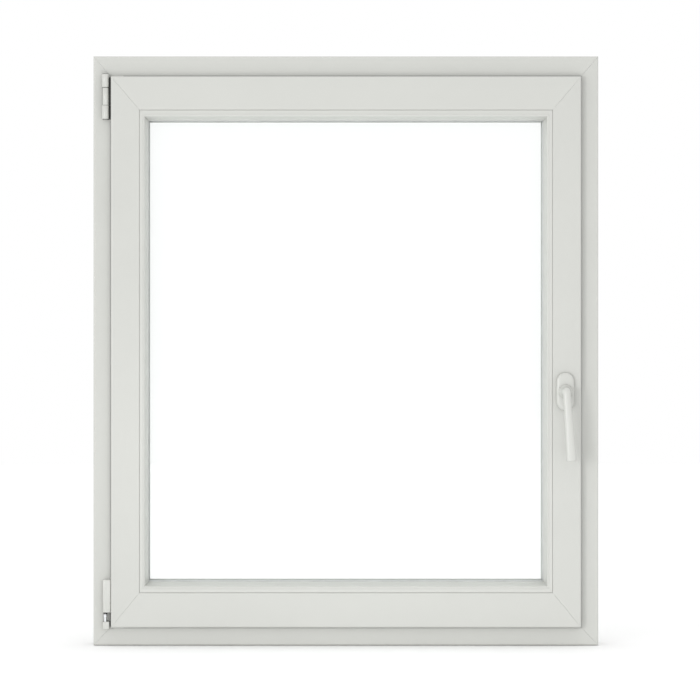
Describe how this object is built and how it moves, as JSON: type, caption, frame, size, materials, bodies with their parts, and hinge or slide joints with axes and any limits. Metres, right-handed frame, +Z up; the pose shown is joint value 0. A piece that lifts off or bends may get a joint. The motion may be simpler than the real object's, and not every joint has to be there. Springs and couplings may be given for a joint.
{
  "type": "tilt-and-turn window",
  "caption": "Inward-opening tilt-and-turn window: mitred hollow frame and sash, insulating glass, lever handle, locking rods, hinges with stay arm.",
  "frame": {"origin": "middle of the underside of the outer frame, halfway through its depth", "axes": "+Z up, +X towards the handle side as seen from the room, -Y towards the room"},
  "size_m": [0.9, 0.1355, 1.05],
  "materials": {
    "pvc": "white window PVC, fine satin gloss",
    "bead_pvc": "white window PVC bead",
    "white_cover": "white cover cap",
    "white_metal": "white powder coat",
    "zinc": "zinc plated steel",
    "steel": "galvanised steel section",
    "spacer": "mill aluminium",
    "glass": "clear float glass",
    "seal": "grey seal",
    "butyl": "black edge sealant",
    "block": "setting block"
  },
  "bodies": {
    "frame": {"frame_head": "pvc", "frame_sill": "pvc", "frame_jamb_hinge": "pvc", "frame_jamb_lock": "pvc", "frame_steel": "steel", "frame_gasket": "seal", "drain_covers": "white_cover", "keepers_lock": "zinc", "keeper_head": "zinc", "keeper_sill": "zinc", "keeper_screws": "zinc", "top_bearing": "zinc", "top_bearing_covers": "white_cover", "corner_bearing": "zinc", "corner_bearing_cover": "white_cover", "bearing_screws": "zinc"},
    "corner_pin": {"corner_pin": "zinc"},
    "sash": {"sash_top": "pvc", "sash_bottom": "pvc", "sash_stile_hinge": "pvc", "sash_stile_lock": "pvc", "sash_steel": "steel", "sash_gasket": "seal", "bead_top": "bead_pvc", "bead_bottom": "bead_pvc", "bead_hinge": "bead_pvc", "bead_lock": "bead_pvc", "glass_inner": "glass", "glass_outer": "glass", "spacer_bar": "spacer", "glass_edge_seal": "butyl", "gasket_inner": "seal", "gasket_outer": "seal", "setting_blocks": "block", "faceplate_lock": "zinc", "faceplate_top": "zinc", "faceplate_bottom": "zinc", "faceplate_screws": "zinc", "corner_drives": "zinc", "gearbox_case": "zinc", "gearbox_cover": "zinc", "corner_band": "zinc", "corner_band_cap": "white_cover", "handle_rosette": "white_metal", "rosette_base": "white_cover", "rosette_screws": "zinc", "detent_balls": "zinc"},
    "top_pin": {"top_hinge_pin": "zinc"},
    "stay_arm": {"stay_arm": "zinc", "stay_arm_cover": "white_cover"},
    "stay_slider": {"stay_slider": "zinc"},
    "handle": {"handle_lever": "white_metal", "spindle": "zinc", "pinion": "zinc"},
    "lock_rod": {"lock_rod": "zinc"},
    "top_rod": {"top_rod": "zinc"},
    "bottom_rod": {"bottom_rod": "zinc"}
  },
  "joints": [
    {"name": "sash_tilt", "type": "hinge", "parent": "frame", "child": "corner_pin", "pos_m": [-0.4284, -0.044, 0.038], "axis": [1, 0, 0], "range_deg": [0, 8]},
    {"name": "sash_turn", "type": "hinge", "parent": "corner_pin", "child": "sash", "pos_m": [-0.4284, -0.044, 0.038], "axis": [0, 0, -1], "range_deg": [0, 90]},
    {"name": "top_pin_turn", "type": "hinge", "parent": "frame", "child": "top_pin", "pos_m": [-0.4284, -0.044, 0.97815], "axis": [0, 0, -1], "range_deg": [0, 90]},
    {"name": "stay_swing", "type": "hinge", "parent": "top_pin", "child": "stay_arm", "pos_m": [-0.4284, -0.044, 0.97815], "axis": [0, 0.0349, -0.9994], "range_deg": [0, 22.26]},
    {"name": "stay_slider_pivot", "type": "hinge", "parent": "stay_arm", "child": "stay_slider", "pos_m": [-0.0784, -0.025, 0.99814], "axis": [0, -0.0349, 0.9994], "range_deg": [0, 22.26]},
    {"name": "handle_turn", "type": "hinge", "parent": "sash", "child": "handle", "pos_m": [0.3894, -0.035, 0.453], "axis": [0, 1, 0], "range_deg": [0, 180]},
    {"name": "lock_rod_slide", "type": "slide", "parent": "sash", "child": "lock_rod", "axis": [0, 0, 1], "range_m": [0, 0.0205]},
    {"name": "top_rod_slide", "type": "slide", "parent": "sash", "child": "top_rod", "axis": [-1, 0, 0], "range_m": [0, 0.0205]},
    {"name": "bottom_rod_slide", "type": "slide", "parent": "sash", "child": "bottom_rod", "axis": [1, 0, 0], "range_m": [0, 0.0205]}
  ],
  "couplings": [
    {"joint": "top_pin_turn", "follows": "sash_turn", "ratio": 1},
    {"joint": "stay_swing", "follows": "sash_tilt", "ratio": 2.7574},
    {"joint": "stay_slider_pivot", "follows": "sash_tilt", "ratio": 2.7574},
    {"joint": "lock_rod_slide", "follows": "handle_turn", "m_per_rad": 0.0065},
    {"joint": "top_rod_slide", "follows": "handle_turn", "m_per_rad": 0.0065},
    {"joint": "bottom_rod_slide", "follows": "handle_turn", "m_per_rad": 0.0065}
  ]
}
